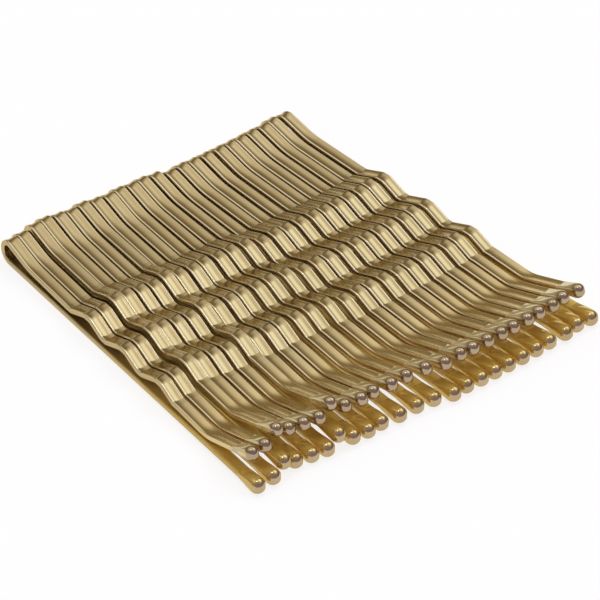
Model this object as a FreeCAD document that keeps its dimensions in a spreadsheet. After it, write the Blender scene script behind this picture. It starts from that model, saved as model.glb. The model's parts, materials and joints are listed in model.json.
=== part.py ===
"""A row of gold bobby pins lying side by side: sprung clips of flat wire with ball tips.

One pin is drawn in its own frame: origin at the centre of the spring bend, +X along the legs
and +Z from the straight lower leg to the crimped upper leg. Copies of it are laid in a row,
each with its own gaps to the pin before it, its own slide along X and its own sideways lean.
"""
import FreeCAD, Part
import Sketcher
import math
import os

# Driving dimensions of one pin, in millimetres. Gaps are clear heights over the lower leg. The upper
# leg stops short of the lower one by end_step, and its upturned end is upturn_run long. Each ball
# stands proud of the wire's two edges.
PIN_SIZES = {
    "wire_width": 1.46,
    "wire_thick": 0.65,
    "bend_radius": 1.2,
    "shoulder_x": 3.9,
    "shoulder_gap": 0.74,
    "shoulder_radius": 10.0,
    "first_valley_x": 12.1,
    "valley_gap": 0.42,
    "crimp_rise": 3.65,
    "crimp_fall": 3.2,
    "crimp_height": 1.0,
    "crimp_flat": 0.9,
    "crimp_run_out": 5.0,
    "kink_gap": 0.1,
    "kink_radius": 7.0,
    "upturn_run": 7.5,
    "upper_end_gap": 2.46,
    "lower_end_x": 47.3,
    "end_step": 1.3,
    "lower_ball_proud": 0.17,
    "upper_ball_proud": 0.08,
    "neck_length": 1.9,
    "neck_wall": 0.06,
    "lip_corner": 0.1,
}

# How the row lies: room left round a ridden-up ball, and the first pin's tip sideways of its bend
ROW_SIZES = {
    "rider_clear": 0.09,
    "first_tip_lead": -3.4,
}

# Clear gap from each pin to the one before it, at the bends and at the lower ball tips
BEND_GAPS = (
    0.06, 0.54, 0.06, 0.14, 0.06, 0.24, 0.10, 0.18, 0.06, 0.14, 0.06, 0.20,
    0.14, 0.24, 0.08, 0.30, 0.38, 0.12, 0.06, 0.20, 0.26, 0.06, 0.34,
)
TIP_GAPS = (
    0.30, -0.08, -0.10, 0.06, 0.06, -0.14, -0.14, 0.06, 0.06, 0.50, 0.56, 0.34,
    0.38, 0.14, 0.14, 0.10, 0.08, 0.14, 0.22, 0.12, 0.56, 0.08, 0.10,
)

# How far each pin has slid along X, and how far its upper leg leans sideways at the tip
SLIDES = (
    0.40, 0.20, -0.30, -0.50, -0.20, 0.00, -0.25, 0.05, 0.20, 0.00, 0.15, 0.05,
    0.25, 0.85, 0.60, 0.65, 0.60, 0.55, 0.50, 0.40, 0.25, 0.20, -0.15, -0.10,
)
LEANS = (
    0.25, 0.00, 0.15, 0.15, 0.00, 0.00, 0.00, 0.00, 0.15, 0.00, 0.00, -0.25,
    0.00, 0.00, 0.30, 0.05, 0.20, 0.25, 0.00, 0.00, -0.20, -0.60, -0.75, -0.55,
)

# Pins whose lower ball has ridden up between the balls of its two neighbours
RIDERS = (3, 7)

PIN_COUNT = len(SLIDES)

# Each tip's dome: how far along the ball's radius each ring stands, and the ring's share of it
DOME_RINGS = ((0.0, 1.0), (0.7, 0.71), (0.97, 0.24))

# Corners of a tip's twelve-sided ring in one quarter, in degrees, with a flat side below
RING_ANGLES = (15, 45, 75)

# The two ends of a line or an arc, and a point itself, as a sketch's constraints number them
START, END = 1, 2

doc = FreeCAD.newDocument("bobby_pins")
sheet = doc.addObject("Spreadsheet::Sheet", "Sizes")


def fill_sheet():
    """Write every size into its own cell, with an alias."""
    rows = list(PIN_SIZES.items()) + list(ROW_SIZES.items())
    for prefix, first, values in (("bend_gap", 2, BEND_GAPS), ("tip_gap", 2, TIP_GAPS),
                                  ("slide", 1, SLIDES), ("lean", 1, LEANS)):
        rows += [(f"{prefix}_{number:02d}", value) for number, value in enumerate(values, start=first)]
    for row, (alias, value) in enumerate(rows, start=1):
        sheet.set(f"A{row}", alias)
        sheet.set(f"B{row}", str(value))
        sheet.setAlias(f"B{row}", alias)
    doc.recompute()


def size(alias):
    """The value of one cell of the sheet."""
    return float(sheet.get(alias))


def worth(expression):
    """The number that an expression in the sheet's aliases gives."""
    value = sheet.evalExpression(expression)
    return float(getattr(value, "Value", value))


def bind(sketch, name, expression, *constraint):
    """Add a dimension to a sketch and tie it to an expression in the sheet's aliases."""
    index = sketch.addConstraint(Sketcher.Constraint(*constraint, worth(expression)))
    sketch.renameConstraint(index, name)
    sketch.setExpression(f"Constraints.{name}", expression)


def bind_point(sketch, name, across, up, *point):
    """Fix a point of a sketch at two expressions in the sheet's aliases."""
    origin = (-1, START)
    bind(sketch, f"{name}_across", across, "DistanceX", *origin, *point)
    bind(sketch, f"{name}_up", up, "DistanceY", *origin, *point)


def sketch_on_yz(body, name):
    """A sketch attached to its own body's YZ plane, across the wire."""
    plane = [item for item in body.Origin.OriginFeatures if item.Role == "YZ_Plane"][0]
    sketch = body.newObject("Sketcher::SketchObject", name)
    sketch.AttachmentSupport = [(plane, "")]
    sketch.MapMode = "FlatFace"
    return sketch


def draw_outline(sketch, corners):
    """Draw a closed outline through corners that are pairs of expressions."""
    points = [FreeCAD.Vector(worth(across), worth(up), 0) for across, up in corners]
    sides = [sketch.addGeometry(Part.LineSegment(start, end))
             for start, end in zip(points, points[1:] + points[:1])]
    for index, side in enumerate(sides):
        sketch.addConstraint(Sketcher.Constraint("Coincident", sides[index - 1], END, side, START))
        bind_point(sketch, f"corner_{index}", *corners[index], side, START)


def mirrored(quarter):
    """All the corners of an outline, in order, from the corners of its first quarter."""
    back = quarter[::-1]
    corners = [(across, up) for across, up in quarter]
    corners += [(f"-({across})", up) for across, up in back]
    corners += [(f"-({across})", f"-({up})") for across, up in quarter]
    corners += [(across, f"-({up})") for across, up in back]
    return corners


def wire_corners(middle):
    """Corners of the flat wire's section, with its middle at a height."""
    half_width, half_thick = "Sizes.wire_width / 2", "Sizes.wire_thick / 2"
    return [(half_width, f"{middle} - {half_thick}"), (half_width, f"{middle} + {half_thick}"),
            (f"-{half_width}", f"{middle} + {half_thick}"), (f"-{half_width}", f"{middle} - {half_thick}")]


def make_lower_leg():
    """The straight leg: a free run of wire from under the bend, and a tang that ends inside its ball."""
    body = doc.addObject("PartDesign::Body", "lower_leg")
    free = "Sizes.lower_end_x - Sizes.neck_length"
    for name, start, length in (("run", "0", free), ("tang", free, "Sizes.neck_length")):
        section = sketch_on_yz(body, f"lower_leg_{name}_section")
        section.setExpression("AttachmentOffset.Base.z", start)
        draw_outline(section, wire_corners("-Sizes.bend_radius"))
        pad = body.newObject("PartDesign::Pad", f"lower_leg_{name}")
        pad.Profile = section
        pad.Refine = False
        pad.setExpression("Length", length)
    return body


def shoulder_point():
    """The shoulder's corner on the underside of the upper leg, as expressions for X and Z."""
    return "Sizes.shoulder_x", "(Sizes.wire_thick / 2 - Sizes.bend_radius + Sizes.shoulder_gap)"


def leaving_angle():
    """Where the straight run to the shoulder leaves the inside of the bend, from +X, where it is tangent."""
    x, z = shoulder_point()
    inside = "(Sizes.bend_radius - Sizes.wire_thick / 2)"
    return f"(atan2({z}; {x}) + acos({inside} / sqrt({x}^2 + {z}^2)))"


def make_bend():
    """The spring bend: the wire turned about the pin's own origin until it points at the shoulder."""
    body = doc.addObject("PartDesign::Body", "spring_bend")
    section = sketch_on_yz(body, "bend_section")
    draw_outline(section, wire_corners("-Sizes.bend_radius"))
    turn = body.newObject("PartDesign::Revolution", "bend_turn")
    turn.Profile = section
    turn.ReferenceAxis = (section, ["H_Axis"])
    turn.setExpression("Angle", f"270 deg - {leaving_angle()}")
    return body


def upper_end_x():
    """How far along the pin the upper leg ends, as an expression."""
    return "(Sizes.lower_end_x - Sizes.end_step)"


def kink_x():
    """How far along the pin the upper leg turns up, as an expression."""
    return f"({upper_end_x()} - Sizes.upturn_run)"


def crimp_count():
    """As many crimps as there is room for, from the first valley to the run-out before the kink."""
    room = worth(f"{kink_x()} - Sizes.crimp_run_out - Sizes.first_valley_x")
    return int(room / worth("Sizes.crimp_rise + Sizes.crimp_fall"))


def underside_corners():
    """Corners of the upper leg's underside after the bend: expressions for X, Z and any radius."""
    crimps = crimp_count()
    floor = "Sizes.wire_thick / 2 - Sizes.bend_radius"
    valley = f"{floor} + Sizes.valley_gap"
    hump = f"{valley} + Sizes.crimp_height"
    corners = [(*shoulder_point(), "Sizes.shoulder_radius")]
    for crimp in range(crimps + 1):
        trough = f"Sizes.first_valley_x + {crimp} * (Sizes.crimp_rise + Sizes.crimp_fall)"
        corners.append((f"{trough} - Sizes.crimp_flat / 2", valley, None))
        corners.append((f"{trough} + Sizes.crimp_flat / 2", valley, None))
        if crimp < crimps:
            crest = f"{trough} + Sizes.crimp_rise"
            corners.append((f"{crest} - Sizes.crimp_flat / 2", hump, None))
            corners.append((f"{crest} + Sizes.crimp_flat / 2", hump, None))
    corners.append((kink_x(), f"{floor} + Sizes.kink_gap", "Sizes.kink_radius"))
    corners.append((upper_end_x(), f"{floor} + Sizes.upper_end_gap", None))
    return corners


def rounded(before, corner, after, radius):
    """Start, middle and end of the arc that rounds a corner."""
    inward = (before - corner).normalize()
    onward = (after - corner).normalize()
    half_angle = inward.getAngle(onward) / 2
    along = radius / math.tan(half_angle)
    bisector = (inward + onward).normalize()
    middle = corner + bisector * (radius / math.sin(half_angle) - radius)
    return corner + inward * along, middle, corner + onward * along


def draw_underside(sketch):
    """Draw the upper leg's underside: down to the shoulder, over the crimps, round the kink and up."""
    inside = "(Sizes.bend_radius - Sizes.wire_thick / 2)"
    start = (f"{inside} * cos({leaving_angle()})", f"{inside} * sin({leaving_angle()})")
    corners = underside_corners()
    points = [FreeCAD.Vector(worth(across), worth(up), 0) for across, up, _ in [(*start, None)] + corners]

    before, last, last_end, mark = points[0], None, None, None
    for index, (across, up, radius) in enumerate(corners):
        corner = points[index + 1]
        if radius:
            arc_start, arc_middle, arc_end = rounded(before, corner, points[index + 2], worth(radius))
        run = sketch.addGeometry(Part.LineSegment(before, arc_start if radius else corner))
        if last is None:
            bind_point(sketch, "start", *start, run, START)
        else:
            joint = "Tangent" if mark is not None else "Coincident"
            sketch.addConstraint(Sketcher.Constraint(joint, last, last_end, run, START))
        if mark is not None:
            sketch.addConstraint(Sketcher.Constraint("PointOnObject", mark, START, run))
            mark = None
        if not radius:
            bind_point(sketch, f"corner_{index}", across, up, run, END)
            before, last, last_end = corner, run, END
            continue
        arc = sketch.addGeometry(Part.Arc(arc_start, arc_middle, arc_end))
        turns_left = (corner - before).cross(points[index + 2] - corner).z > 0
        arc_first, last_end = (START, END) if turns_left else (END, START)
        sketch.addConstraint(Sketcher.Constraint("Tangent", run, END, arc, arc_first))
        bind(sketch, f"corner_{index}_radius", radius, "Radius", arc)
        mark = sketch.addGeometry(Part.Point(corner), True)
        sketch.addConstraint(Sketcher.Constraint("PointOnObject", mark, START, run))
        bind_point(sketch, f"corner_{index}", across, up, mark, START)
        before, last = arc_end, arc


def make_upper_leg():
    """The crimped leg: its underside thickened upwards into a side outline, drawn across the wire."""
    underside = doc.addObject("Sketcher::SketchObject", "upper_leg_underside")
    underside.Placement = FreeCAD.Placement(
        FreeCAD.Vector(0, 0, 0), FreeCAD.Rotation(FreeCAD.Vector(1, 0, 0), 90))
    draw_underside(underside)

    side = doc.addObject("Part::Offset2D", "upper_leg_side")
    side.Source = underside
    side.Mode = "Skin"
    side.Join = "Intersection"
    side.Fill = True
    side.setExpression("Value", "Sizes.wire_thick")

    leg = doc.addObject("Part::Extrusion", "upper_leg")
    leg.Base = side
    leg.DirMode = "Custom"
    leg.Dir = FreeCAD.Vector(0, 1, 0)
    leg.Symmetric = True
    leg.Solid = True
    leg.setExpression("LengthFwd", "Sizes.wire_width")
    return leg


def sketch_across(name, along):
    """A sketch that stands across the wire, at a distance along it that is an expression."""
    sketch = doc.addObject("Sketcher::SketchObject", name)
    sketch.Placement = FreeCAD.Placement(
        FreeCAD.Vector(0, 0, 0), FreeCAD.Rotation(FreeCAD.Vector(1, 1, 1), 120))
    sketch.setExpression("Placement.Base.x", along)
    return sketch


def ball_size(name):
    """A ball's diameter, as an expression: the wire's width and what stands proud of it at each edge."""
    return f"(Sizes.wire_width + 2 * Sizes.{name}_ball_proud)"


def make_tip(name, ball):
    """A drop-shaped tip: a lip close round the wire flares into a ball, with a socket for the wire's end.

    The tip's own origin is the middle of the ball, and +X points out of the wire's end.
    """
    half_width = "Sizes.wire_width / 2 + Sizes.neck_wall"
    half_height = "Sizes.wire_thick / 2 + Sizes.neck_wall"
    cut = "Sizes.lip_corner * (1 + sqrt(3)) / 2"
    lip = sketch_across(f"{name}_lip", "-Sizes.neck_length")
    draw_outline(lip, mirrored([
        (half_width, f"{half_height} - {cut}"),
        (f"{half_width} - Sizes.lip_corner / 2", f"{half_height} - Sizes.lip_corner / 2"),
        (f"{half_width} - {cut}", half_height),
    ]))
    sections = [lip]
    for index, (along, share) in enumerate(DOME_RINGS):
        ring = sketch_across(f"{name}_ring_{index}", f"{along} * {ball} / 2")
        radius = f"{share} * {ball} / 2 / cos({RING_ANGLES[0]})"
        draw_outline(ring, mirrored([(f"{radius} * cos({angle})", f"{radius} * sin({angle})")
                                     for angle in RING_ANGLES]))
        sections.append(ring)
    drop = doc.addObject("Part::Loft", f"{name}_drop")
    drop.Sections = sections
    drop.Solid = True
    drop.Ruled = True
    drop.Linearize = True

    socket = doc.addObject("Part::Box", f"{name}_socket")
    for side, alias in (("Length", "neck_length"), ("Width", "wire_width"), ("Height", "wire_thick")):
        socket.setExpression(side, f"Sizes.{alias}")
    socket.setExpression("Placement.Base.x", "-Sizes.neck_length")
    socket.setExpression("Placement.Base.y", "-Sizes.wire_width / 2")
    socket.setExpression("Placement.Base.z", "-Sizes.wire_thick / 2")
    tip = doc.addObject("Part::Cut", name)
    tip.Base = drop
    tip.Tool = socket
    return tip


def lay_row():
    """Where each pin lies: a placement for its frame, and the sideways swing of its upper leg."""
    ball, reach = worth(ball_size("lower")), size("lower_end_x")
    outer = size("bend_radius") + size("wire_thick") / 2

    bend_ys, tip_ys = [0.0], [size("first_tip_lead")]
    for number in range(2, PIN_COUNT + 1):
        bend_ys.append(bend_ys[-1] + size("wire_width") + size(f"bend_gap_{number:02d}"))
        tip_ys.append(tip_ys[-1] + ball + size(f"tip_gap_{number:02d}"))

    slides = [size(f"slide_{number:02d}") for number in range(1, PIN_COUNT + 1)]
    middle_x = (min(slides) - outer + max(slides) + reach + ball / 2) / 2
    middle_y = (tip_ys[0] + tip_ys[-1]) / 2

    row = []
    for index, slide in enumerate(slides):
        lift = 0.0
        if index + 1 in RIDERS:
            nearest = min(tip_ys[index] - tip_ys[index - 1], tip_ys[index + 1] - tip_ys[index])
            clear = ball + size("rider_clear")
            lift = math.sqrt(max(0.0, clear ** 2 - nearest ** 2))
        yaw = math.asin((tip_ys[index] - bend_ys[index]) / reach)
        tilt = math.asin((ball / 2 + lift - size("wire_thick") / 2) / reach)
        swing = math.asin(size(f"lean_{index + 1:02d}") / worth(upper_end_x()))
        base = FreeCAD.Vector(slide - middle_x, bend_ys[index] - middle_y, outer * math.cos(tilt))
        turn = FreeCAD.Rotation(math.degrees(yaw), -math.degrees(tilt), 0)
        lean = FreeCAD.Rotation(math.degrees(swing), 0, 0)
        row.append((FreeCAD.Placement(base, turn), FreeCAD.Placement(FreeCAD.Vector(0, 0, 0), lean)))
    return row


def upper_end():
    """Where the upper tip sits on the pin: on the middle of the wire's end, along its last straight run."""
    (kink_x, kink_z, _), (end_x, end_z, _) = underside_corners()[-2:]
    run = FreeCAD.Vector(worth(end_x) - worth(kink_x), 0, worth(end_z) - worth(kink_z))
    turn = FreeCAD.Rotation(0, -math.degrees(math.atan2(run.z, run.x)), 0)
    middle = turn.multVec(FreeCAD.Vector(0, 0, size("wire_thick") / 2))
    return FreeCAD.Placement(FreeCAD.Vector(worth(end_x), 0, worth(end_z)) + middle, turn)


def lower_end():
    """Where the lower tip sits on the pin: on the middle of the straight leg's end."""
    return FreeCAD.Placement(
        FreeCAD.Vector(size("lower_end_x"), 0, -size("bend_radius")), FreeCAD.Rotation(0, 0, 0))


def group_of(label, pieces, placement=FreeCAD.Placement()):
    """A node that holds one or more pieces, placed together."""
    group = doc.addObject("Part::Compound", label)
    group.Label = label
    group.Links = pieces
    group.Placement = placement
    return group


fill_sheet()
lower_leg = make_lower_leg()
spring_bend = make_bend()
upper_leg = make_upper_leg()
lower_tip = make_tip("lower_tip", ball_size("lower"))
upper_tip = make_tip("upper_tip", ball_size("upper"))
doc.recompute()

nodes = []
fixed = {"lower_legs": [], "spring_bends": [], "lower_tips": []}
for number, (pin, lean) in enumerate(lay_row(), start=1):
    opening = pin.multiply(lean)
    fixed["lower_legs"].append(group_of(f"lower_leg_{number:02d}", [lower_leg], pin))
    fixed["spring_bends"].append(group_of(f"spring_bend_{number:02d}", [spring_bend], pin))
    fixed["lower_tips"].append(group_of(f"lower_tip_{number:02d}", [lower_tip], pin.multiply(lower_end())))
    nodes.append(group_of(f"upper_leg_{number:02d}", [upper_leg], opening))
    nodes.append(group_of(f"upper_tip_{number:02d}", [upper_tip], opening.multiply(upper_end())))
nodes += [group_of(label, pieces) for label, pieces in fixed.items()]
doc.recompute()

faults = [thing.Name for thing in doc.Objects if {"Invalid", "Error"} & set(thing.State)]
faults += [node.Label for node in nodes if node.Shape.isNull() or not node.Shape.isValid()]
if faults:
    raise RuntimeError(f"not built: {faults}")

os.makedirs("parts", exist_ok=True)
for node in nodes:
    node.Shape.exportStep(f"parts/{node.Label}.step")
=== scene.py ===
"""Looks for a row of gold bobby pins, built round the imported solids.

A pin is one flat lacquered wire, turned back on itself at a spring bend, with a ball on each end.
Each pin is drawn in its own frame: origin at the centre of the bend, +X along the legs and +Z from
the straight lower leg to the crimped upper leg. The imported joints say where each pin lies.
"""
import json
import math
import random
from collections import namedtuple

import bmesh
import bpy
from bpy.props import FloatProperty, FloatVectorProperty, IntProperty, PointerProperty
from mathutils import Matrix, Vector


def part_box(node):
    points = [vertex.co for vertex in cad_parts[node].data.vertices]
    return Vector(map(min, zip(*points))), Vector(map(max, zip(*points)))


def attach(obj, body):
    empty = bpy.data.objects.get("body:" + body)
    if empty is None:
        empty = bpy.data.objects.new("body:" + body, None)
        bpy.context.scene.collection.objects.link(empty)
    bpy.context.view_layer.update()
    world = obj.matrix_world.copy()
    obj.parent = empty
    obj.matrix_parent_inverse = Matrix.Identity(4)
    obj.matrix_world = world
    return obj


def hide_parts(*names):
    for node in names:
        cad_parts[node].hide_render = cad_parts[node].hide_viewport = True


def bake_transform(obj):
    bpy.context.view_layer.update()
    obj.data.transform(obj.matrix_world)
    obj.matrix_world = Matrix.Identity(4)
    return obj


bl_info = {
    "name": "Bobby pin row",
    "version": (1, 0, 0),
    "blender": (4, 5, 0),
    "location": "3D View > Sidebar > Bobby pins",
    "description": "Builds the wires, bends and ball tips of a row of gold bobby pins, and their stage",
    "category": "Object",
}

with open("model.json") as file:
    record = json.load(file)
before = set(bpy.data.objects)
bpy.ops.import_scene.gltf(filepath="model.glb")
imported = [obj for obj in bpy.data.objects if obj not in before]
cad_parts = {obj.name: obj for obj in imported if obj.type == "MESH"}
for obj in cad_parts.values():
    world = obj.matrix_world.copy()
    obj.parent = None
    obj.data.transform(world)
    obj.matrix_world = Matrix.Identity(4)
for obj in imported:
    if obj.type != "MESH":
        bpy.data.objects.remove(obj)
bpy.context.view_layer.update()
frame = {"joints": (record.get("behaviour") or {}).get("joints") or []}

MM = 0.001
ROW_BODY = "row"
WIRE_MAP = "wire_map"
TONE = "pin_tone"
TONE_SEED = 24

# How finely the wire is divided, and its fixed angles and shares.
ARC_STEP = math.radians(3.5)
RUN_STEP = 1.2 * MM
SAME_POINT = 1e-7
BEND_START = 1.5 * math.pi
NECK_SWELL = 1.7

# The wear of the lacquer: scales of its noises, and the ranges that they are spread over.
STREAK_STRETCH = (0.35, 40.0, 1.0)
STREAK_DETAIL = 4.0
SPECK_SCALE, SPECK_DETAIL = 5200.0, 2.0
CLOUD_SCALE, CLOUD_DETAIL = 380.0, 3.0
TONE_WEIGHT, CLOUD_WEIGHT = 0.35, 0.6
TINT_SPREAD = (0.35, 1.05)
DULL_SPREAD, DULL_ONTO = (0.2, 0.9), (0.9, 1.15)
# Places round the wire's section, and how strongly a painted highlight lies at each, on the rolled edges
# beside the outer face.
EDGE_HIGHLIGHT_PLACES = ((0.015, 0.0), (0.175, 0.0), (0.20, 1.0), (0.245, 1.0), (0.285, 0.0),
            (0.89, 0.0), (0.93, 1.0), (0.985, 1.0), (1.0, 0.8))
EDGE_TINT = (0.88, 0.78, 0.56, 1.0)
COAT_TINT = (0.97, 0.93, 0.80, 1.0)
COAT_ROUGHNESS, COAT_IOR = 0.12, 1.5
GRAIN_DEPTH = 0.01 * MM

# The stage: directions are from the row, and spreads are of a direction's part along an axis.
PAPER_SCALE, PAPER_SHADE = 900.0, 0.985
WALL_SPREAD, CEILING_SPREAD = (0.03, 0.16), (0.46, 0.82)
CAMERA_SIDE, FRONT_SPREAD = (0.787, -0.617, 0.0), (-0.25, 0.45)
WINDOW_WAY = Vector((-0.02, 0.57, 0.82)).normalized()
WINDOW_SPREAD = (math.cos(math.radians(21)), math.cos(math.radians(4)))
LAMP_WAY = Vector((-0.08, -0.07, 0.99)).normalized()
LAMP_DISTANCE, LAMP_SIDE = 3.0, 0.40


def length(name, description, millimetres):
    """A length property, given in millimetres."""
    return FloatProperty(name=name, description=description, default=millimetres * MM,
                         unit="LENGTH", precision=5)


def colour(name, description, red, green, blue):
    """A colour property."""
    return FloatVectorProperty(name=name, description=description, default=(red, green, blue),
                               subtype="COLOR", size=3, min=0.0, max=1.0)


def share(name, description, value):
    """A plain number from nought to one."""
    return FloatProperty(name=name, description=description, default=value, min=0.0, max=1.0,
                         subtype="FACTOR")


class PinWireSizes(bpy.types.PropertyGroup):
    """Sizes of the wire and of the shape it is bent to."""
    wire_width: length("Wire width", "Width of the flat wire", 1.46)
    wire_thick: length("Wire thickness", "Thickness of the flat wire", 0.65)
    edge_round: length("Edge rounding", "Radius of the wire's rolled edges", 0.16)
    dish: length("Dish", "How far the middle of a flat face lies below its edges", 0.09)
    bend_radius: length("Bend radius", "Radius of the spring bend at the wire's middle", 1.2)
    shoulder_x: length("Shoulder place", "From the bend to the upper leg's shoulder", 3.9)
    shoulder_gap: length("Shoulder gap", "Clear height under the shoulder", 0.74)
    shoulder_radius: length("Shoulder radius", "Rounding of the shoulder", 10.0)
    first_valley_x: length("First valley", "From the bend to the first valley of the crimps", 12.1)
    valley_gap: length("Valley gap", "Clear height under a valley", 0.42)
    crimp_rise: length("Crimp rise", "From a valley to the next hump", 3.65)
    crimp_fall: length("Crimp fall", "From a hump to the next valley", 3.2)
    crimp_height: length("Crimp height", "Height of a hump over a valley", 1.0)
    crimp_flat: length("Crimp flat", "Flat run on a hump and in a valley", 0.9)
    crimp_round: length("Crimp rounding", "Rounding of each corner of the crimps", 1.0)
    crimps: IntProperty(name="Crimps", description="Humps on each upper leg", default=3, min=1, max=6)
    kink_gap: length("Kink gap", "Clear height under the kink", 0.1)
    kink_radius: length("Kink radius", "Rounding of the kink", 7.0)
    upturn_run: length("Upturn run", "Length of the upturned end along the pin", 7.5)
    upper_end_gap: length("Upper end gap", "Clear height under the end of the upper leg", 2.46)
    lower_end_x: length("Lower end", "From the bend to the end of the lower leg", 47.3)
    end_step: length("End step", "How far the upper leg stops short of the lower leg", 1.3)


class BallTipSizes(bpy.types.PropertyGroup):
    """Sizes of the drop-shaped balls on the wire's ends."""
    lower_proud: length("Lower ball proud", "How far the lower ball stands out from the edges", 0.17)
    upper_proud: length("Upper ball proud", "How far the upper ball stands out from the edges", 0.08)
    flare: length("Flare", "Length of the neck that swells into the ball", 2.6)
    lip: length("Lip", "Thickness of the coat where the neck starts on the wire", 0.008)


class GoldFinish(bpy.types.PropertyGroup):
    """Colours and gloss of the gold lacquer, with a painted edge highlight and painted bounce amber."""
    wire_gold: colour("Wire gold", "Lacquer on the wire", 0.575, 0.47, 0.265)
    end_gold: colour("End gold", "Paler lacquer on the upturned ends", 0.80, 0.65, 0.35)
    # Amber painted on the ends of the lower legs and the necks of the lower balls for light bounced
    # between the gold parts, made bright to lift the shade under the upper legs.
    painted_bounce_amber: colour("Painted bounce amber", "Amber painted on the lower legs' ends for bounced light", 0.97, 0.72, 0.19)
    lower_cap: colour("Lower cap", "Lacquer on the fronts of the lower balls", 0.54, 0.42, 0.26)
    upper_neck: colour("Upper neck", "Pale lacquer on the necks of the upper balls", 0.84, 0.74, 0.44)
    upper_cap: colour("Upper cap", "Lacquer on the fronts of the upper balls", 0.47, 0.37, 0.26)
    # The colour of a painted highlight on the rolled edges of the wire.
    edge_highlight_gold: colour("Edge highlight gold", "Painted highlight on the wire's rolled edges", 0.90, 0.80, 0.56)
    deep_tint: colour("Deep tint", "How streaks and specks tint the lacquer", 0.84, 0.78, 0.66)
    leg_gloss: share("Leg roughness", "Mean roughness of the lower legs", 0.36)
    wire_gloss: share("Wire roughness", "Mean roughness of the wire", 0.25)
    ball_gloss: share("Ball roughness", "Mean roughness of the balls", 0.09)
    wire_coat: share("Wire coat", "Weight of the clear coat on the wire", 0.08)
    ball_coat: share("Ball coat", "Weight of the clear coat on the balls", 0.35)


class StageSettings(bpy.types.PropertyGroup):
    """The floor, the room and the lamp."""
    floor_white: colour("Floor", "Colour of the table", 0.32, 0.32, 0.32)
    floor_glow: share("Floor glow", "What a camera or a mirror sees on top of the lit floor", 0.80)
    horizon: colour("Horizon", "The room at the height of the table", 0.07, 0.05, 0.025)
    walls: colour("Walls", "The walls over the table", 0.23, 0.18, 0.105)
    ceiling: colour("Ceiling", "The white ceiling", 1.0, 0.97, 0.93)
    front: colour("Front", "The room on the camera's side", 0.36, 0.31, 0.38)
    window: colour("Window", "Cool daylight of the window", 0.72, 0.86, 1.0)
    window_level: FloatProperty(name="Window level", description="Brightness of the window",
                                default=1.1)
    lamp_level: FloatProperty(name="Lamp", description="Brightness of the small overhead lamp",
                              default=9.0)


SETTINGS = {
    "bobby_wire": PinWireSizes,
    "bobby_tips": BallTipSizes,
    "bobby_finish": GoldFinish,
    "bobby_stage": StageSettings,
}

Pin = namedtuple("Pin", "name body lie lean swing tone")
Ring = namedtuple("Ring", "centre normal run turn")


def row_of_pins(wire, tips):
    """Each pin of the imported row: its frame, the frame of its leaning upper leg, and its own tone."""
    tones = random.Random(TONE_SEED)
    ball = wire.wire_width + 2 * tips.lower_proud
    level = math.asin((ball - wire.wire_thick) / 2 / wire.lower_end_x)
    upper_end_x = wire.lower_end_x - wire.end_step
    pins, first_rise = [], None
    for number, joint in enumerate(frame["joints"], start=1):
        base = Vector(joint["pos_m"])
        low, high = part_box(f"upper_tip_{number:02d}")
        rise = high.z - base.z
        first_rise = rise if first_rise is None else first_rise
        tilt = level + (rise - first_rise) / upper_end_x
        yaw = math.atan2(joint["axis"][0], -joint["axis"][1])
        lie = Matrix.Translation(base) @ Matrix.Rotation(yaw, 4, "Z") @ Matrix.Rotation(-tilt, 4, "Y")
        tip = lie.inverted() @ ((low + high) / 2)
        swing = math.atan2(tip.y, tip.x)
        lean = lie @ Matrix.Rotation(swing, 4, "Z")
        pins.append(Pin(f"{number:02d}", joint["child"], lie, lean, swing, tones.random()))
    return pins


def wire_section(wire):
    """The wire's section: pairs of across and outward, from the near end of the outer face."""
    half_width, half_thick, edge = wire.wire_width / 2, wire.wire_thick / 2, wire.edge_round
    face_steps, edge_steps = 8, 6
    flat = half_width - edge
    half = []
    for step in range(face_steps + 1):
        across = -1 + 2 * step / face_steps
        half.append((flat * across, half_thick - wire.dish * (1 - across ** 2)))
    for step in range(1, edge_steps):
        angle = math.pi / 2 * (1 - step / edge_steps)
        half.append((flat + edge * math.cos(angle), half_thick - edge + edge * math.sin(angle)))
    half.append((half_width, half_thick - edge))
    half.append((half_width, edge - half_thick))
    for step in range(1, edge_steps):
        angle = -math.pi / 2 * step / edge_steps
        half.append((flat + edge * math.cos(angle), edge - half_thick + edge * math.sin(angle)))
    other = [(-across, -outward) for across, outward in half]
    return half + other


def leaving_angle(wire):
    """Where the upper leg leaves the inside of the bend, from +X, so that it is tangent there."""
    inside = wire.bend_radius - wire.wire_thick / 2
    shoulder_z = wire.wire_thick / 2 - wire.bend_radius + wire.shoulder_gap
    reach = math.hypot(wire.shoulder_x, shoulder_z)
    return math.atan2(shoulder_z, wire.shoulder_x) + math.acos(inside / reach)


def underside_corners(wire):
    """Corners of the upper leg's underside: X, Z and the radius that rounds each."""
    inside = wire.bend_radius - wire.wire_thick / 2
    leaving = leaving_angle(wire)
    floor = wire.wire_thick / 2 - wire.bend_radius
    valley = floor + wire.valley_gap
    hump = valley + wire.crimp_height
    half_flat, tight = wire.crimp_flat / 2, wire.crimp_round
    corners = [(inside * math.cos(leaving), inside * math.sin(leaving), 0.0),
               (wire.shoulder_x, floor + wire.shoulder_gap, wire.shoulder_radius)]
    for crimp in range(wire.crimps + 1):
        trough = wire.first_valley_x + crimp * (wire.crimp_rise + wire.crimp_fall)
        corners += [(trough - half_flat, valley, tight), (trough + half_flat, valley, tight)]
        if crimp < wire.crimps:
            crest = trough + wire.crimp_rise
            corners += [(crest - half_flat, hump, tight), (crest + half_flat, hump, tight)]
    end_x = wire.lower_end_x - wire.end_step
    corners.append((end_x - wire.upturn_run, floor + wire.kink_gap, wire.kink_radius))
    corners.append((end_x, floor + wire.upper_end_gap, 0.0))
    return corners


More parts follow.
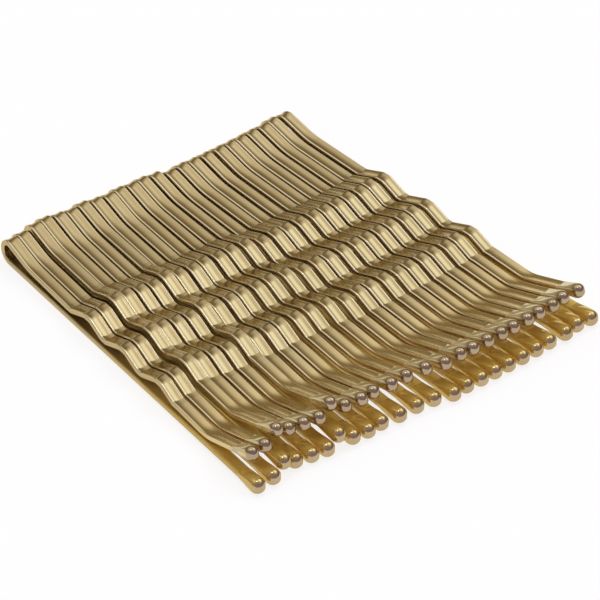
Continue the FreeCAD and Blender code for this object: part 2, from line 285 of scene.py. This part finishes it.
def rounded_line(corners, arc_step, run_step):
    """Points along a line with rounded corners, each with its upward normal and its distance along."""
    points = [Vector((x, 0, z)) for x, z, _ in corners]
    line, run = [], 0.0

    def add(point, along):
        nonlocal run
        normal = Vector((-along.z, 0, along.x))
        if line:
            gap = (point - line[-1][0]).length
            if gap < SAME_POINT:
                return
            run += gap
        line.append((point, normal, run))

    def add_run(start, end):
        along = (end - start).normalized()
        steps = max(1, math.ceil((end - start).length / run_step))
        for step in range(steps + 1):
            add(start.lerp(end, step / steps), along)

    start = points[0]
    for index in range(1, len(points) - 1):
        before, corner, after = points[index - 1], points[index], points[index + 1]
        inward, onward = (corner - before).normalized(), (after - corner).normalized()
        turn = math.atan2(inward.x * onward.z - inward.z * onward.x, inward.dot(onward))
        radius = corners[index][2]
        along = radius * math.tan(abs(turn) / 2)
        arc_start = corner - inward * along
        add_run(start, arc_start)
        steps = max(2, math.ceil(abs(turn) / arc_step))
        side = math.copysign(1.0, turn)
        centre = arc_start + Vector((-inward.z, 0, inward.x)) * radius * side
        for step in range(1, steps + 1):
            angle = turn * step / steps
            turned = Vector((inward.x * math.cos(angle) - inward.z * math.sin(angle), 0,
                             inward.x * math.sin(angle) + inward.z * math.cos(angle)))
            add(centre - Vector((-turned.z, 0, turned.x)) * radius * side, turned)
        start = corner + onward * along
    add_run(start, points[-1])
    return line


def upper_rings(wire):
    """Rings of the upper leg: its underside's line, raised to the wire's middle."""
    line = rounded_line(underside_corners(wire), ARC_STEP, RUN_STEP)
    return [Ring(point + normal * wire.wire_thick / 2, normal, run, 0.0)
            for point, normal, run in line]


def bend_rings(wire, swing):
    """Rings of the spring bend, from the lower leg round to the upper leg, which leans by a swing."""
    steps = 56
    turn = BEND_START - leaving_angle(wire)
    rings = []
    for step in range(steps + 1):
        angle = BEND_START - turn * step / steps
        out = Vector((math.cos(angle), 0, math.sin(angle)))
        rings.append(Ring(out * wire.bend_radius, out, turn * wire.bend_radius * step / steps,
                          swing * step / steps))
    return rings


def lower_rings(wire):
    """Rings of the straight lower leg, from its end back to the bend."""
    steps = 24
    down = Vector((0, 0, -1))
    return [Ring(Vector((wire.lower_end_x * (1 - step / steps), 0, -wire.bend_radius)), down,
                 wire.lower_end_x * step / steps, 0.0) for step in range(steps + 1)]


def tip_outlines(wire, tips, proud):
    """Outlines of a ball tip along its own X, from the lip on the wire to the pole of the ball."""
    neck_steps, dome_steps = 18, 12
    half_width, half_thick = wire.wire_width / 2, wire.wire_thick / 2
    radius = half_width + proud
    lip, ball = [], []
    for across, outward in wire_section(wire):
        lip.append(Vector((across * (1 + tips.lip / half_width),
                           outward * (1 + tips.lip / half_thick))))
        ball.append(Vector((across / half_width, outward / half_thick)).normalized() * radius)
    outlines = []
    for step in range(neck_steps):
        part = step / neck_steps
        swell = (part ** 2 * (3 - 2 * part) + 1 - (1 - part) ** NECK_SWELL) / 2
        outlines.append((tips.flare * (part - 1),
                         [start.lerp(end, swell) for start, end in zip(lip, ball)]))
    for step in range(dome_steps):
        angle = math.pi / 2 * step / dome_steps
        outlines.append((radius * math.sin(angle), [end * math.cos(angle) for end in ball]))
    return outlines, radius


class PieceMesh:
    """A mesh that is filled with swept wires and ball tips, and then made into one piece."""

    def __init__(self, name):
        self.name = name
        self.build = bmesh.new()
        self.map = self.build.loops.layers.uv.new(WIRE_MAP)
        self.tone = self.build.verts.layers.float.new(TONE)

    def loop_of(self, points, tone):
        """A ring of vertices through points in the row frame."""
        ring = []
        for point in points:
            corner = self.build.verts.new(point)
            corner[self.tone] = tone
            ring.append(corner)
        return ring

    def bridge(self, before, after, run_before, run_after):
        """A band of faces between two rings, mapped by the distance along the wire and round it."""
        count = len(before)
        for index in range(count):
            onward = (index + 1) % count
            face = self.build.faces.new((before[index], before[onward], after[onward], after[index]))
            face.smooth = True
            places = ((run_before, index), (run_before, index + 1),
                      (run_after, index + 1), (run_after, index))
            for corner, (run, place) in zip(face.loops, places):
                corner[self.map].uv = (run / MM, place / count)

    def cap(self, ring, run):
        """A flat end with a sharp rim."""
        face = self.build.faces.new(ring)
        for corner in face.loops:
            corner[self.map].uv = (run / MM, 0.0)
        for edge in face.edges:
            edge.smooth = False

    def add_wire(self, place, section, rings, tone):
        """A wire swept through rings, with flat ends."""
        before = first = None
        for ring in rings:
            turned = place @ Matrix.Rotation(ring.turn, 4, "Z")
            points = [turned @ (ring.centre + Vector((0, across, 0)) + ring.normal * outward)
                      for across, outward in section]
            now = self.loop_of(points, tone)
            if before is None:
                first = now
            else:
                self.bridge(before, now, last_run, ring.run)
            before, last_run = now, ring.run
        self.cap(first, rings[0].run)
        self.cap(before, rings[-1].run)

    def add_tip(self, place, outlines, radius, tone):
        """A ball tip lofted through outlines across its own X, closed at the pole."""
        before = None
        for along, outline in outlines:
            now = self.loop_of([place @ Vector((along, across, up)) for across, up in outline], tone)
            if before is None:
                self.cap(now, along)
            else:
                self.bridge(before, now, last_along, along)
            before, last_along = now, along
        pole = self.loop_of([place @ Vector((radius, 0, 0))], tone)[0]
        count = len(before)
        for index in range(count):
            face = self.build.faces.new((before[index], before[(index + 1) % count], pole))
            face.smooth = True
            for corner, place_round in zip(face.loops, (index, index + 1, index + 0.5)):
                corner[self.map].uv = ((radius if corner.vert is pole else last_along) / MM,
                                       place_round / count)

    def piece(self, material):
        """The finished object, in the row frame."""
        bmesh.ops.recalc_face_normals(self.build, faces=self.build.faces)
        mesh = bpy.data.meshes.new(self.name)
        self.build.to_mesh(mesh)
        self.build.free()
        mesh.materials.append(material)
        made = bpy.data.objects.new(self.name, mesh)
        bpy.context.scene.collection.objects.link(made)
        return made


def new_node(tree, kind, place, **values):
    """A node of a kind at a place, with its properties set."""
    node = tree.nodes.new(kind)
    node.location = place
    for key, value in values.items():
        setattr(node, key, value)
    return node


def opaque(tint):
    """A colour with full alpha."""
    return (*tint, 1.0)


def feed(tree, given, socket):
    """Link a socket to the output it is given, or set it to a plain value."""
    if isinstance(given, bpy.types.NodeSocket):
        tree.links.new(given, socket)
    else:
        socket.default_value = given


def reckoned(tree, place, operation, *values):
    """The result of a math node."""
    node = new_node(tree, "ShaderNodeMath", place, operation=operation)
    for socket, given in zip(node.inputs, values):
        feed(tree, given, socket)
    return node.outputs[0]


def ranged(tree, place, source, spread, onto=(0.0, 1.0), kind="LINEAR"):
    """A source taken from one spread of values onto another."""
    node = new_node(tree, "ShaderNodeMapRange", place, interpolation_type=kind)
    feed(tree, source, node.inputs["Value"])
    for label, given in zip(("From Min", "From Max", "To Min", "To Max"), (*spread, *onto)):
        feed(tree, given, node.inputs[label])
    return node.outputs["Result"]


def mixed(tree, place, factor, first, second, **kind):
    """Two colours mixed by a factor."""
    node = new_node(tree, "ShaderNodeMix", place, data_type="RGBA", **kind)
    for label, given in (("Factor", factor), ("A", first), ("B", second)):
        feed(tree, given, node.inputs[label])
    return node.outputs["Result"]


def noise(tree, place, coordinates, scale, detail):
    """A noise over some coordinates."""
    node = new_node(tree, "ShaderNodeTexNoise", place)
    node.inputs["Scale"].default_value = scale
    node.inputs["Detail"].default_value = detail
    tree.links.new(coordinates, node.inputs["Vector"])
    return node.outputs["Fac"]


def part_towards(tree, place, way, direction):
    """How far a way points in a direction."""
    node = new_node(tree, "ShaderNodeVectorMath", place, operation="DOT_PRODUCT")
    tree.links.new(way, node.inputs[0])
    node.inputs[1].default_value = direction
    return node.outputs["Value"]


def lacquer_wear_and_highlight_group():
    """The shared lacquer: streaks, specks, each pin's tone, a fade along the wire and a painted highlight
    on the rolled edges.
    """
    name = "lacquer_wear_and_edge_highlight"
    if name in bpy.data.node_groups:
        return bpy.data.node_groups[name]
    group = bpy.data.node_groups.new(name, "ShaderNodeTree")
    sockets = (
        ("Gold", "INPUT", "NodeSocketColor"), ("End gold", "INPUT", "NodeSocketColor"),
        ("Fade from", "INPUT", "NodeSocketFloat"), ("Fade to", "INPUT", "NodeSocketFloat"),
        ("Deep tint", "INPUT", "NodeSocketColor"), ("Edge highlight gold", "INPUT", "NodeSocketColor"),
        ("Edge highlight weight", "INPUT", "NodeSocketFloat"),
        ("Streaks", "INPUT", "NodeSocketFloat"), ("Specks", "INPUT", "NodeSocketFloat"),
        ("Roughness", "INPUT", "NodeSocketFloat"),
        ("Colour", "OUTPUT", "NodeSocketColor"), ("Roughness", "OUTPUT", "NodeSocketFloat"),
        ("Height", "OUTPUT", "NodeSocketFloat"), ("Fade", "OUTPUT", "NodeSocketFloat"),
    )
    for label, way, kind in sockets:
        group.interface.new_socket(name=label, in_out=way, socket_type=kind)
    link = group.links.new
    taken = new_node(group, "NodeGroupInput", (-900, 0)).outputs
    given = new_node(group, "NodeGroupOutput", (900, 0)).inputs

    wire_map = new_node(group, "ShaderNodeUVMap", (-900, 300), uv_map=WIRE_MAP)
    drawn_out = new_node(group, "ShaderNodeMapping", (-700, 300))
    drawn_out.inputs["Scale"].default_value = STREAK_STRETCH
    link(wire_map.outputs["UV"], drawn_out.inputs["Vector"])
    spot = new_node(group, "ShaderNodeTexCoord", (-900, -300)).outputs["Object"]
    tone = new_node(group, "ShaderNodeAttribute", (-500, -700), attribute_name=TONE)
    streaks = noise(group, (-500, 300), drawn_out.outputs["Vector"], 1.0, STREAK_DETAIL)
    specks = noise(group, (-500, -100), spot, SPECK_SCALE, SPECK_DETAIL)
    clouds = noise(group, (-500, -400), spot, CLOUD_SCALE, CLOUD_DETAIL)

    streak_part = reckoned(group, (-250, 300), "MULTIPLY", streaks, taken["Streaks"])
    speck_part = reckoned(group, (-250, 0), "MULTIPLY", specks, taken["Specks"])
    wear = reckoned(group, (0, 200), "ADD", streak_part, speck_part)
    own = reckoned(group, (-250, -500), "MULTIPLY_ADD", tone.outputs["Fac"], TONE_WEIGHT, clouds)
    amount = reckoned(group, (0, -400), "MULTIPLY_ADD", own, CLOUD_WEIGHT, wear)
    deepened = ranged(group, (200, -300), amount, TINT_SPREAD)

    along = new_node(group, "ShaderNodeSeparateXYZ", (-500, 600))
    link(wire_map.outputs["UV"], along.inputs["Vector"])
    fade = ranged(group, (-250, 600), along.outputs["X"], (taken["Fade from"], taken["Fade to"]),
                  kind="SMOOTHSTEP")
    faded = mixed(group, (200, 500), fade, taken["Gold"], taken["End gold"])
    tinted = mixed(group, (450, -100), deepened, faded, taken["Deep tint"], blend_type="MULTIPLY")

    # A painted highlight on the rolled edges beside the outer face, set by the place round the section.
    edges = new_node(group, "ShaderNodeValToRGB", (-250, 900))
    ramp = edges.color_ramp
    for element, (place, level) in zip(ramp.elements, (EDGE_HIGHLIGHT_PLACES[0], EDGE_HIGHLIGHT_PLACES[-1])):
        element.position, element.color = place, opaque((level, level, level))
    for place, level in EDGE_HIGHLIGHT_PLACES[1:-1]:
        ramp.elements.new(place).color = opaque((level, level, level))
    link(along.outputs["Y"], edges.inputs["Fac"])
    edge_highlight_share = reckoned(group, (200, 900), "MULTIPLY", edges.outputs["Color"], taken["Edge highlight weight"])
    link(mixed(group, (650, 0), edge_highlight_share, tinted, taken["Edge highlight gold"]), given["Colour"])

    dulled = ranged(group, (450, 300), wear, DULL_SPREAD, DULL_ONTO)
    link(reckoned(group, (650, 300), "MULTIPLY", dulled, taken["Roughness"]), given["Roughness"])
    link(wear, given["Height"])
    link(fade, given["Fade"])
    return group


def lacquered_gold(name, finish, *, gold, end_gold, fade, roughness, metallic, coat, streaks, specks,
                   bump, edge_highlight_weight=0.0):
    """A lacquered gold metal with the shared wear and a painted edge highlight, whose colour fades along
    the wire.
    """
    if name in bpy.data.materials:
        return bpy.data.materials[name]
    material = bpy.data.materials.new(name)
    material.use_nodes = True
    tree = material.node_tree
    link = tree.links.new
    shader = tree.nodes["Principled BSDF"].inputs
    shader["Specular Tint"].default_value = EDGE_TINT
    shader["Coat Weight"].default_value = coat
    shader["Coat Roughness"].default_value = COAT_ROUGHNESS
    shader["Coat IOR"].default_value = COAT_IOR
    shader["Coat Tint"].default_value = COAT_TINT
    wear = new_node(tree, "ShaderNodeGroup", (-500, 200), node_tree=lacquer_wear_and_highlight_group())
    settings = {
        "Gold": opaque(gold), "End gold": opaque(end_gold), "Fade from": fade[0], "Fade to": fade[1],
        "Deep tint": opaque(finish.deep_tint), "Edge highlight gold": opaque(finish.edge_highlight_gold),
        "Edge highlight weight": edge_highlight_weight, "Streaks": streaks, "Specks": specks, "Roughness": roughness,
    }
    for label, value in settings.items():
        wear.inputs[label].default_value = value
    shader["Metallic"].default_value = metallic[0]
    if metallic[0] != metallic[1]:
        bare = ranged(tree, (-250, 100), wear.outputs["Fade"], (0.0, 1.0), metallic)
        link(bare, shader["Metallic"])
    grain = new_node(tree, "ShaderNodeBump", (-250, -200))
    grain.inputs["Strength"].default_value = bump
    grain.inputs["Distance"].default_value = GRAIN_DEPTH
    link(wear.outputs["Colour"], shader["Base Color"])
    link(wear.outputs["Roughness"], shader["Roughness"])
    link(wear.outputs["Height"], grain.inputs["Height"])
    link(grain.outputs["Normal"], shader["Normal"])
    return material


def wire_gold(finish):
    """The finish of the bends and the upper legs, paler on the upturned ends, with a painted highlight on
    the rolled edges.
    """
    return lacquered_gold(
        "lacquered_wire", finish, gold=finish.wire_gold, end_gold=finish.end_gold, fade=(33.0, 40.0),
        roughness=finish.wire_gloss, metallic=(0.95, 0.95), coat=finish.wire_coat,
        streaks=0.4, specks=0.15, bump=0.03, edge_highlight_weight=0.75)


def leg_gold(finish):
    """The finish of the lower legs: amber painted at the ball for bounced light, and like the rest of the
    wire at the bend, with a painted highlight on the rolled edges.
    """
    return lacquered_gold(
        "lacquered_lower_leg", finish, gold=finish.painted_bounce_amber, end_gold=finish.wire_gold, fade=(8.0, 36.0),
        roughness=finish.leg_gloss, metallic=(0.3, 0.9), coat=finish.wire_coat,
        streaks=0.4, specks=0.2, bump=0.05, edge_highlight_weight=0.3)


def lower_ball_gold(finish):
    """The dipped finish of the lower balls, with amber painted on the neck for bounced light."""
    return lacquered_gold(
        "dipped_lower_ball", finish, gold=finish.painted_bounce_amber, end_gold=finish.lower_cap, fade=(-0.2, 0.7),
        roughness=finish.ball_gloss, metallic=(0.4, 0.95), coat=finish.ball_coat,
        streaks=0.15, specks=0.25, bump=0.1)


def upper_ball_gold(finish):
    """The dipped finish of the upper balls, pale on the neck."""
    return lacquered_gold(
        "dipped_upper_ball", finish, gold=finish.upper_neck, end_gold=finish.upper_cap, fade=(-0.6, 0.4),
        roughness=finish.ball_gloss, metallic=(0.4, 0.95), coat=finish.ball_coat,
        streaks=0.15, specks=0.25, bump=0.1)


class BuildOperator:
    """What every operator here shares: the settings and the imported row."""
    bl_options = {"REGISTER", "UNDO"}

    def settings(self, context):
        scene = context.scene
        self.wire, self.tips = scene.bobby_wire, scene.bobby_tips
        self.finish, self.stage = scene.bobby_finish, scene.bobby_stage
        self.pins = row_of_pins(self.wire, self.tips)
        if not self.pins:
            raise RuntimeError("the packed row has no pins")


class BOBBY_OT_lower_legs(BuildOperator, bpy.types.Operator):
    """Sweep the straight lower legs of all pins"""
    bl_idname = "bobby.lower_legs"
    bl_label = "Lower legs"

    def execute(self, context):
        self.settings(context)
        section, rings = wire_section(self.wire), lower_rings(self.wire)
        mesh = PieceMesh("lower_leg_wires")
        for pin in self.pins:
            mesh.add_wire(pin.lie, section, rings, pin.tone)
        legs = mesh.piece(leg_gold(self.finish))
        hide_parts("lower_legs")
        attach(legs, ROW_BODY)
        return {"FINISHED"}


class BOBBY_OT_spring_bends(BuildOperator, bpy.types.Operator):
    """Turn each pin's spring bend, twisted to meet its leaning upper leg"""
    bl_idname = "bobby.spring_bends"
    bl_label = "Spring bends"

    def execute(self, context):
        self.settings(context)
        section = wire_section(self.wire)
        for pin in self.pins:
            mesh = PieceMesh(f"spring_bend_wire_{pin.name}")
            mesh.add_wire(pin.lie, section, bend_rings(self.wire, pin.swing), pin.tone)
            bend = mesh.piece(wire_gold(self.finish))
            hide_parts("spring_bends")
            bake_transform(bend)
        return {"FINISHED"}


class BOBBY_OT_upper_legs(BuildOperator, bpy.types.Operator):
    """Sweep each pin's crimped upper leg"""
    bl_idname = "bobby.upper_legs"
    bl_label = "Upper legs"

    def execute(self, context):
        self.settings(context)
        section, rings = wire_section(self.wire), upper_rings(self.wire)
        for pin in self.pins:
            mesh = PieceMesh(f"upper_leg_wire_{pin.name}")
            mesh.add_wire(pin.lean, section, rings, pin.tone)
            leg = mesh.piece(wire_gold(self.finish))
            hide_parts(f"upper_leg_{pin.name}")
            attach(leg, pin.body)
        return {"FINISHED"}


class BOBBY_OT_lower_tips(BuildOperator, bpy.types.Operator):
    """Loft the drop-shaped balls on the lower legs"""
    bl_idname = "bobby.lower_tips"
    bl_label = "Lower ball tips"

    def execute(self, context):
        self.settings(context)
        outlines, radius = tip_outlines(self.wire, self.tips, self.tips.lower_proud)
        end = Matrix.Translation((self.wire.lower_end_x, 0, -self.wire.bend_radius))
        mesh = PieceMesh("lower_tip_balls")
        for pin in self.pins:
            mesh.add_tip(pin.lie @ end, outlines, radius, pin.tone)
        tips = mesh.piece(lower_ball_gold(self.finish))
        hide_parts("lower_tips")
        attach(tips, ROW_BODY)
        return {"FINISHED"}


class BOBBY_OT_upper_tips(BuildOperator, bpy.types.Operator):
    """Loft the smaller balls on the upturned ends of the upper legs"""
    bl_idname = "bobby.upper_tips"
    bl_label = "Upper ball tips"

    def execute(self, context):
        self.settings(context)
        outlines, radius = tip_outlines(self.wire, self.tips, self.tips.upper_proud)
        last = upper_rings(self.wire)[-1]
        rise = math.atan2(last.normal.x, last.normal.z)
        end = Matrix.Translation(last.centre) @ Matrix.Rotation(rise, 4, "Y")
        for pin in self.pins:
            mesh = PieceMesh(f"upper_tip_ball_{pin.name}")
            mesh.add_tip(pin.lean @ end, outlines, radius, pin.tone)
            tip = mesh.piece(upper_ball_gold(self.finish))
            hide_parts(f"upper_tip_{pin.name}")
            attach(tip, pin.body)
        return {"FINISHED"}


def white_floor(stage):
    """A matt white table that a camera or a mirror sees a little brighter than it is lit."""
    material = bpy.data.materials.new("white_table")
    material.use_nodes = True
    tree = material.node_tree
    tree.nodes.clear()
    link = tree.links.new
    spot = new_node(tree, "ShaderNodeTexCoord", (-700, 150)).outputs["Object"]
    paper = new_node(tree, "ShaderNodeTexNoise", (-500, 150))
    paper.inputs["Scale"].default_value = PAPER_SCALE
    link(spot, paper.inputs["Vector"])
    shaded = opaque([PAPER_SHADE * part for part in stage.floor_white])
    matt = new_node(tree, "ShaderNodeBsdfDiffuse", (100, 150))
    link(mixed(tree, (-200, 150), paper.outputs["Fac"], opaque(stage.floor_white), shaded),
         matt.inputs["Color"])
    path = new_node(tree, "ShaderNodeLightPath", (-700, -200)).outputs
    seen = reckoned(tree, (-450, -150), "MAXIMUM", path["Is Camera Ray"], path["Is Glossy Ray"])
    through = reckoned(tree, (-250, -150), "MAXIMUM", seen, path["Is Transmission Ray"])
    glow = new_node(tree, "ShaderNodeEmission", (100, -100))
    link(reckoned(tree, (-50, -150), "MULTIPLY", through, stage.floor_glow), glow.inputs["Strength"])
    total = new_node(tree, "ShaderNodeAddShader", (400, 0))
    link(matt.outputs[0], total.inputs[0])
    link(glow.outputs[0], total.inputs[1])
    out = new_node(tree, "ShaderNodeOutputMaterial", (700, 0))
    link(total.outputs[0], out.inputs["Surface"])
    return material


def lay_floor(stage):
    """A round table with a coved rim, so that no view sees past it."""
    middle_radius, inner_radius, flat_radius, cove_radius = 0.05, 0.3, 1.7, 0.25
    count, cove_steps = 96, 12
    profile = [(middle_radius, 0.0), (inner_radius, 0.0), (flat_radius, 0.0)]
    for step in range(1, cove_steps + 1):
        turn = step * math.pi / (2 * cove_steps)
        profile.append((flat_radius + cove_radius * math.sin(turn), cove_radius * (1 - math.cos(turn))))
    build = bmesh.new()
    before = None
    for radius, height in profile:
        now = [build.verts.new((radius * math.cos(2 * math.pi * step / count),
                                radius * math.sin(2 * math.pi * step / count), height))
               for step in range(count)]
        if before is None:
            build.faces.new(now)
        else:
            for step in range(count):
                onward = (step + 1) % count
                build.faces.new((before[step], before[onward], now[onward], now[step])).smooth = True
        before = now
    mesh = bpy.data.meshes.new("white_table")
    build.to_mesh(mesh)
    build.free()
    mesh.materials.append(white_floor(stage))
    floor = bpy.data.objects.new("white_table", mesh)
    bpy.context.scene.collection.objects.link(floor)


def hang_lamp(stage):
    """A square lamp of an even brightness, which faces the row from overhead."""
    lamp = bpy.data.lights.new("overhead_lamp", "AREA")
    lamp.shape = "RECTANGLE"
    lamp.size = lamp.size_y = LAMP_SIDE
    lamp.energy = stage.lamp_level * math.pi * LAMP_SIDE * LAMP_SIDE
    hung = bpy.data.objects.new("overhead_lamp", lamp)
    hung.location = LAMP_WAY * LAMP_DISTANCE
    hung.rotation_mode = "QUATERNION"
    hung.rotation_quaternion = (-LAMP_WAY).to_track_quat("-Z", "Y")
    bpy.context.scene.collection.objects.link(hung)


def set_camera():
    """A long lens from the front right, at the height the row is seen from."""
    azimuth, elevation = math.radians(51.86), math.radians(36.81)
    distance, aim = 533.1 * MM, Vector((-0.04, -0.36, 0.0)) * MM
    sideways, upward = 1.82 * MM, -0.07 * MM
    back = Vector((math.sin(azimuth) * math.cos(elevation), -math.cos(azimuth) * math.cos(elevation),
                   math.sin(elevation)))
    right = Vector((math.cos(azimuth), math.sin(azimuth), 0.0))
    up = back.cross(right)
    lens = bpy.data.cameras.new("row_camera")
    lens.lens, lens.sensor_width = 300.0, 36.0
    camera = bpy.data.objects.new("row_camera", lens)
    camera.location = aim + right * sideways + up * upward + back * distance
    camera.rotation_mode = "QUATERNION"
    camera.rotation_quaternion = Matrix((right, up, back)).transposed().to_quaternion()
    bpy.context.scene.collection.objects.link(camera)
    bpy.context.scene.camera = camera


def dim_room(stage):
    """The room round the table: dark at the horizon, white overhead, with a window over the row."""
    world = bpy.data.worlds.new("dim_room")
    world.use_nodes = True
    tree = world.node_tree
    smooth = "SMOOTHSTEP"
    way = new_node(tree, "ShaderNodeTexCoord", (-1100, 0)).outputs["Generated"]
    parts = new_node(tree, "ShaderNodeSeparateXYZ", (-900, 150))
    tree.links.new(way, parts.inputs["Vector"])
    low = ranged(tree, (-700, 450), parts.outputs["Z"], WALL_SPREAD, kind=smooth)
    around = mixed(tree, (-600, 450), low, opaque(stage.horizon), opaque(stage.walls))
    height = ranged(tree, (-700, 150), parts.outputs["Z"], CEILING_SPREAD, kind=smooth)
    upward = mixed(tree, (-450, 150), height, around, opaque(stage.ceiling))
    facing = part_towards(tree, (-900, -150), way, CAMERA_SIDE)
    nearness = ranged(tree, (-700, -150), facing, FRONT_SPREAD, kind=smooth)
    tone = mixed(tree, (-200, 0), nearness, upward, opaque(stage.front))
    opening = part_towards(tree, (-900, -400), way, WINDOW_WAY)
    glare = ranged(tree, (-700, -400), opening, WINDOW_SPREAD, (0.0, stage.window_level), smooth)
    light = mixed(tree, (0, 0), glare, tone, opaque(stage.window), blend_type="ADD", clamp_factor=False)
    room = tree.nodes["Background"]
    room.inputs["Strength"].default_value = 1.0
    tree.links.new(light, room.inputs["Color"])
    bpy.context.scene.world = world


class BOBBY_OT_stage(BuildOperator, bpy.types.Operator):
    """Lay the white table, light it and set the camera"""
    bl_idname = "bobby.stage"
    bl_label = "Stage"

    def execute(self, context):
        self.settings(context)
        context.scene.view_settings.view_transform = "Standard"
        lay_floor(self.stage)
        dim_room(self.stage)
        hang_lamp(self.stage)
        set_camera()
        return {"FINISHED"}


class BOBBY_PT_row(bpy.types.Panel):
    """Sizes, colours and build steps of the row"""
    bl_idname = "BOBBY_PT_row"
    bl_label = "Bobby pin row"
    bl_space_type = "VIEW_3D"
    bl_region_type = "UI"
    bl_category = "Bobby pins"

    def draw(self, context):
        layout = self.layout
        for label, group in SETTINGS.items():
            box = layout.box()
            for prop in group.__annotations__:
                box.prop(getattr(context.scene, label), prop)
        for step in STEPS:
            layout.operator(step.bl_idname)


STEPS = (BOBBY_OT_lower_legs, BOBBY_OT_spring_bends, BOBBY_OT_upper_legs, BOBBY_OT_lower_tips,
         BOBBY_OT_upper_tips, BOBBY_OT_stage)
CLASSES = (*SETTINGS.values(), *STEPS, BOBBY_PT_row)


def register():
    """Register the classes and hang the settings on the scene."""
    for item in CLASSES:
        bpy.utils.register_class(item)
    for label, group in SETTINGS.items():
        setattr(bpy.types.Scene, label, PointerProperty(type=group))


def unregister():
    """Take the settings off the scene and unregister the classes."""
    for label in SETTINGS:
        delattr(bpy.types.Scene, label)
    for item in reversed(CLASSES):
        bpy.utils.unregister_class(item)


def main():
    """Build every piece and the stage."""
    register()
    bpy.ops.bobby.lower_legs()
    bpy.ops.bobby.spring_bends()
    bpy.ops.bobby.upper_legs()
    bpy.ops.bobby.lower_tips()
    bpy.ops.bobby.upper_tips()
    bpy.ops.bobby.stage()


if __name__ == "__main__":
    main()
